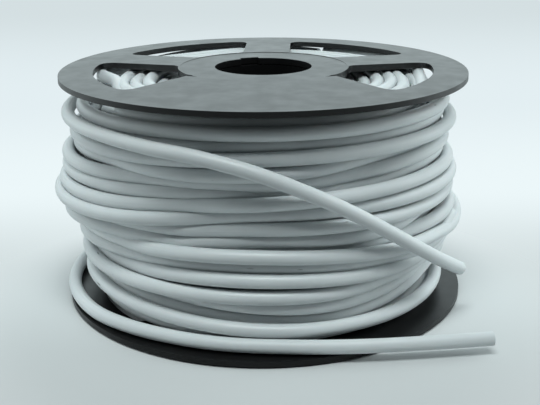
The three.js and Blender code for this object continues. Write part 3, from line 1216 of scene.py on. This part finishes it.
@dataclass(frozen=True)
class Flange:
    """One flange moulding: a low cone with windows, a hub disc, a keyed bore
    and a ring that plugs into the barrel. Its inner face is at height nought."""

    radius: float = 62.5 * MM
    thickness: float = 1.6 * MM
    rim_band: float = 2.0 * MM
    rise: float = 0.5 * MM
    hub_radius: float = 26.0 * MM
    hub_lip: float = 0.8 * MM
    hub_drop: float = 0.12 * MM
    bore_radius: float = 15.0 * MM
    spoke_width: float = 15.6 * MM
    spoke_count: int = 5
    spoke_turn: float = 88.0  # in degrees, as key_turn is
    solid_sector: int = 2  # the one without a window
    window_outer: float = 52.2 * MM
    window_inner: float = 26.4 * MM
    outer_corner: float = 5.0 * MM
    inner_corner: float = 1.4 * MM
    tip_length: float = 4.5 * MM  # of the points of the windows beside it
    tip_radius: float = 25.6 * MM
    key_width: float = 6.0 * MM
    key_depth: float = 1.6 * MM
    key_turn: float = 107.0
    spigot_outer: float = 23.4 * MM
    spigot_inner: float = 21.9 * MM
    spigot_depth: float = 6.0 * MM
    edge: float = 0.3 * MM
    rim_faces: int = 240
    window_steps: int = 30
    inner_faces: int = 144

    def side_angle(self, spoke: float, side: int, radius: float) -> float:
        """Angle of a spoke's side at a radius, in radians."""
        return spoke + side * math.asin(self.spoke_width / 2 / radius)

    def disc(self) -> bpy.types.Object:
        """The plate without its openings, shaped by insets of its outer face.

        Returns:
            The plate.
        """
        disc = cylinder(self.radius, 0.0, self.thickness, self.rim_faces)
        edit_faces(disc, lambda face: face.normal.z > UPRIGHT)
        bpy.ops.mesh.inset(thickness=self.rim_band)
        bpy.ops.mesh.inset(
            thickness=self.radius - self.rim_band - self.hub_radius - self.hub_lip, depth=self.rise
        )
        bpy.ops.mesh.inset(thickness=self.hub_lip)
        bpy.ops.mesh.inset(thickness=self.hub_drop, depth=-self.hub_drop)
        bpy.ops.object.mode_set(mode="OBJECT")
        return disc

    def window_cutter(self, sector: int) -> bpy.types.Object:
        """The block that cuts one window.

        Args:
            sector: number of the window's sector, from the rear spoke.

        Returns:
            The cutter.
        """
        pitch = math.radians(360 / self.spoke_count)
        first = math.radians(self.spoke_turn) + sector * pitch
        second = first + pitch
        low, high = -self.thickness, 3 * self.thickness
        outer_trim = self.outer_corner / self.window_outer
        inner_trim = self.inner_corner / self.window_inner
        corners = {}
        for radius, inward, trim in (
            (self.window_outer, self.window_outer - self.outer_corner, outer_trim),
            (self.window_inner, self.window_inner + self.inner_corner, inner_trim),
        ):
            for spoke, side in ((first, 1), (second, -1)):
                angle = self.side_angle(spoke, side, radius)
                on_side = polar(inward, self.side_angle(spoke, side, inward))
                on_arc = polar(radius, angle + side * trim)
                corners[radius, side] = (on_side, polar(radius, angle), on_arc, angle)
        start = corners[self.window_outer, 1][3] + outer_trim
        end = corners[self.window_outer, -1][3] - outer_trim
        outline = arc(self.window_outer, start, end, self.window_steps)[:-1]
        outline += rounded(*corners[self.window_outer, -1][2::-1])
        outline += rounded(*corners[self.window_inner, -1][:3], steps=1)
        outline += rounded(*corners[self.window_inner, 1][2::-1], steps=1)
        outline += rounded(*corners[self.window_outer, 1][:3])[:-1]
        cutter = prism(outline, low, high)
        hub = cylinder(self.window_inner, 2 * low, 2 * high, self.inner_faces)
        combine(cutter, hub, "DIFFERENCE")
        pointed = {self.solid_sector - 1: -1, self.solid_sector + 1: 1}.get(sector)
        if pointed:
            on_side, _, on_arc, angle = corners[self.window_inner, pointed]
            tip = polar(self.tip_radius, angle - pointed * self.tip_length / self.tip_radius)
            further = polar(self.window_inner + self.inner_corner, angle + pointed * 2 * inner_trim)
            wedge = [on_side, further, on_arc, tip]
            combine(cutter, prism(wedge if pointed > 0 else wedge[::-1], low, high), "UNION")
        return cutter

    def moulding(self) -> bpy.types.Object:
        """The whole flange, as the upper one lies.

        Returns:
            The flange, with its inner face at height nought.
        """
        flange = self.disc()
        combine(flange, pipe(self.spigot_inner, self.spigot_outer, -self.spigot_depth, self.edge), "UNION")
        low, high = -2 * self.spigot_depth, 3 * self.thickness
        combine(flange, cylinder(self.bore_radius, low, high), "DIFFERENCE")
        along = polar(1.0, math.radians(self.key_turn))
        across = Vector((-along.y, along.x, 0.0)) * self.key_width / 2
        reach = along * (self.bore_radius + self.key_depth)
        combine(flange, prism([across, -across, reach - across, reach + across], low, high), "DIFFERENCE")
        for sector in range(self.spoke_count):
            if sector != self.solid_sector:
                combine(flange, self.window_cutter(sector), "DIFFERENCE")
        soften_edges(flange, self.edge)
        return flange

    def build(self, finishes: dict[Side, bpy.types.Material]) -> None:
        """Adds the upper flange and its copy, turned over as the lower one.

        Args:
            finishes: the material of each side's flange; the lower one's is the duller copy, whose weaker
                shine is painted shade.
        """
        upper = self.moulding()
        lower = upper.copy()
        lower.data = upper.data.copy()
        bpy.context.scene.collection.objects.link(lower)
        upper.location.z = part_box("upper_flange")[1][2] - self.thickness - self.rise
        lower.location.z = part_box("lower_flange")[0][2] + self.thickness + self.rise
        lower.rotation_euler.y = math.pi
        for side, piece in ((Side.UPPER, upper), (Side.LOWER, lower)):
            apply_place(piece)
            place_piece(piece, f"{side.value}_plate", Slot.REEL, finishes[side], f"{side.value}_flange")


@dataclass(frozen=True)
class Drum:
    """The barrel that carries the cord, and the ribbed sleeve for the spindle."""

    barrel_outer: float = 25.5 * MM
    barrel_inner: float = 23.7 * MM
    sleeve_outer: float = 16.6 * MM
    bore_radius: float = 15.0 * MM
    rib_thickness: float = 1.4 * MM
    rib_reach: float = 23.4 * MM
    rib_clearance: float = 6.3 * MM
    rib_count: int = 5
    rib_turn: float = 88.0
    edge: float = 0.2 * MM

    def build(self, finish: bpy.types.Material) -> None:
        """Adds the barrel and the sleeve in place of their CAD nodes.

        Args:
            finish: the material of both, the duller copy whose weaker shine is painted shade.
        """
        low, high = (corner[2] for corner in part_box("drum_barrel"))
        barrel = pipe(self.barrel_inner, self.barrel_outer, low, high)
        soften_edges(barrel, self.edge)
        place_piece(barrel, "barrel", Slot.REEL, finish, "drum_barrel")
        low, high = (corner[2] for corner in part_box("bore_sleeve"))
        sleeve = pipe(self.bore_radius, self.sleeve_outer, low, high)
        for index in range(self.rib_count):
            combine(sleeve, self.rib(index, low + self.rib_clearance, high - self.rib_clearance), "UNION")
        soften_edges(sleeve, self.edge)
        place_piece(sleeve, "sleeve", Slot.REEL, finish, "bore_sleeve")

    def rib(self, index: int, low: float, high: float) -> bpy.types.Object:
        """One rib of the sleeve, from inside its wall out to the barrel.

        Args:
            index: the rib's number.
            low: height of its lower end.
            high: height of its upper end.

        Returns:
            The rib.
        """
        along = polar(1.0, math.radians(self.rib_turn + index * 360 / self.rib_count))
        across = Vector((-along.y, along.x, 0.0)) * self.rib_thickness / 2
        inner = along * (self.bore_radius + self.sleeve_outer) / 2
        outer = along * self.rib_reach
        return prism([inner + across, inner - across, outer - across, outer + across], low, high)


def main() -> None:
    """Builds the reel's looks around the frame, in order."""
    logging.basicConfig(level=logging.INFO, format="%(name)s %(message)s")
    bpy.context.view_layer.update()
    Camera().build()
    cord = CordPlastic().material()
    LooseEnd("upper_end", "cord_upper_end", UPPER_END_ROUTE).build(cord)
    LooseEnd("lower_end", "cord_lower_end", LOWER_END_ROUTE).build(cord)
    Studio().build()
    black = MouldedPlastic().material()
    # painted shade: a copy of the black plastic with weaker shine, for the lower flange and the drum, stands
    # in for the shade under the winding and in the bore
    shaded = MouldedPlastic("reel_plastic_dulled_for_shade", shine=0.2).material()
    Winding().build(cord)
    Flange().build({Side.UPPER: black, Side.LOWER: shaded})
    Drum().build(shaded)


if __name__ == "__main__":
    main()
